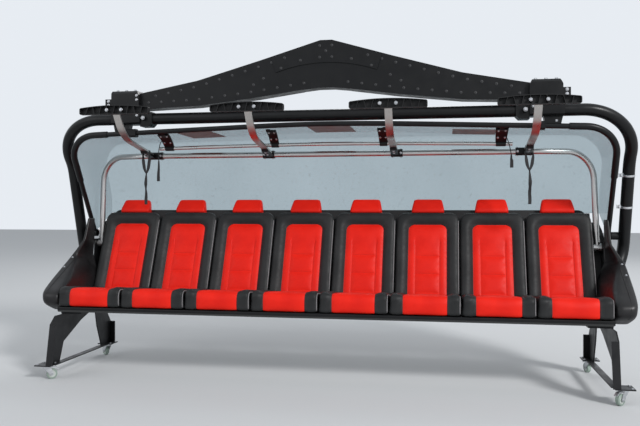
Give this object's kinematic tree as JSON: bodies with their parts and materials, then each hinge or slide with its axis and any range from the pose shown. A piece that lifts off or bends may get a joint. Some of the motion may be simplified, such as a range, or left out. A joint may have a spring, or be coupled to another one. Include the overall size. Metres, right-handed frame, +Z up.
{
  "type": "chairlift chair with weather bubble",
  "caption": "Bench chair of a ropeway lift under a riveted gable beam, with padded seats, lowering restraint bar with footrests, clear folding bubble and a wheeled stand.",
  "frame": {"origin": "on the floor under the middle of the whole chair", "axes": "+X along the bench to the right as seen from the front, -Y the way the seats face, +Z up"},
  "size_m": [4.7578, 1.407, 2.64],
  "materials": {
    "red_cover": "matt grained cover",
    "black_paint": "semi-gloss powder coat",
    "bare_metal": "satin",
    "black_moulding": "fine grain",
    "clear_sheet": "clear, slightly tinted",
    "castor_zinc": "bright zinc",
    "castor_tread": "matt"
  },
  "bodies": {
    "chair": {"seat_cushion_1": "red_cover", "seat_cushion_2": "red_cover", "seat_cushion_3": "red_cover", "seat_cushion_4": "red_cover", "seat_cushion_5": "red_cover", "seat_cushion_6": "red_cover", "seat_cushion_7": "red_cover", "seat_cushion_8": "red_cover", "seat_back_1": "red_cover", "seat_back_2": "red_cover", "seat_back_3": "red_cover", "seat_back_4": "red_cover", "seat_back_5": "red_cover", "seat_back_6": "red_cover", "seat_back_7": "red_cover", "seat_back_8": "red_cover", "headrests": "red_cover", "main_frame_top": "black_paint", "main_frame_left": "black_paint", "main_frame_right": "black_paint", "hanger_beam": "black_paint", "damper_housing_left": "black_paint", "damper_housing_right": "black_paint", "seat_front_rail": "black_paint", "seat_rear_rail": "black_paint", "side_bracket_left": "black_paint", "side_bracket_right": "black_paint", "bubble_pivot_left": "black_paint", "bubble_pivot_right": "black_paint", "stand_left": "black_paint", "stand_right": "black_paint", "side_panel_left": "black_moulding", "side_panel_right": "black_moulding", "back_shell": "black_moulding", "seat_pan": "black_moulding"},
    "restraint": {"restraint_bar": "bare_metal", "bar_clamps": "black_paint", "footrest_arms": "bare_metal", "footrest_pads": "black_moulding"},
    "bubble": {"bubble_frame": "black_paint", "bubble_sheet": "clear_sheet", "handle_bar": "bare_metal", "handle_brackets": "black_paint"},
    "castor_front_left": {"castor_fork_front_left": "castor_zinc"},
    "wheel_front_left": {"castor_wheel_front_left": "castor_tread"},
    "castor_front_right": {"castor_fork_front_right": "castor_zinc"},
    "wheel_front_right": {"castor_wheel_front_right": "castor_tread"},
    "castor_rear_left": {"castor_fork_rear_left": "castor_zinc"},
    "wheel_rear_left": {"castor_wheel_rear_left": "castor_tread"},
    "castor_rear_right": {"castor_fork_rear_right": "castor_zinc"},
    "wheel_rear_right": {"castor_wheel_rear_right": "castor_tread"}
  },
  "joints": [
    {"name": "restraint_bar_swing", "type": "hinge", "parent": "chair", "child": "restraint", "pos_m": [0, 0.3067, 1.01], "axis": [1, 0, 0], "range_deg": [0, 82]},
    {"name": "bubble_swing", "type": "hinge", "parent": "chair", "child": "bubble", "pos_m": [0, 0.3667, 1.1], "axis": [1, 0, 0], "range_deg": [0, 62.32]},
    {"name": "castor_front_left_swivel", "type": "hinge", "parent": "chair", "child": "castor_front_left", "pos_m": [-2.105, -0.6333, 0.1], "axis": [0, 0, 1], "continuous": true},
    {"name": "castor_front_left_roll", "type": "hinge", "parent": "castor_front_left", "child": "wheel_front_left", "pos_m": [-2.07223, -0.61036, 0.04], "axis": [-0.5736, 0.8192, 0], "continuous": true},
    {"name": "castor_front_right_swivel", "type": "hinge", "parent": "chair", "child": "castor_front_right", "pos_m": [2.105, -0.6333, 0.1], "axis": [0, 0, 1], "continuous": true},
    {"name": "castor_front_right_roll", "type": "hinge", "parent": "castor_front_right", "child": "wheel_front_right", "pos_m": [2.07672, -0.66158, 0.04], "axis": [0.7071, -0.7071, 0], "continuous": true},
    {"name": "castor_rear_left_swivel", "type": "hinge", "parent": "chair", "child": "castor_rear_left", "pos_m": [-2.065, 0.3117, 0.1], "axis": [0, 0, 1], "continuous": true},
    {"name": "castor_rear_left_roll", "type": "hinge", "parent": "castor_rear_left", "child": "wheel_rear_left", "pos_m": [-2.09564, 0.33741, 0.04], "axis": [-0.6428, -0.766, 0], "continuous": true},
    {"name": "castor_rear_right_swivel", "type": "hinge", "parent": "chair", "child": "castor_rear_right", "pos_m": [2.065, 0.3117, 0.1], "axis": [0, 0, 1], "continuous": true},
    {"name": "castor_rear_right_roll", "type": "hinge", "parent": "castor_rear_right", "child": "wheel_rear_right", "pos_m": [2.05264, 0.34974, 0.04], "axis": [-0.9511, -0.309, 0], "continuous": true}
  ],
  "couplings": [
    {"joint": "bubble_swing", "follows": "restraint_bar_swing", "ratio": 0.76}
  ]
}
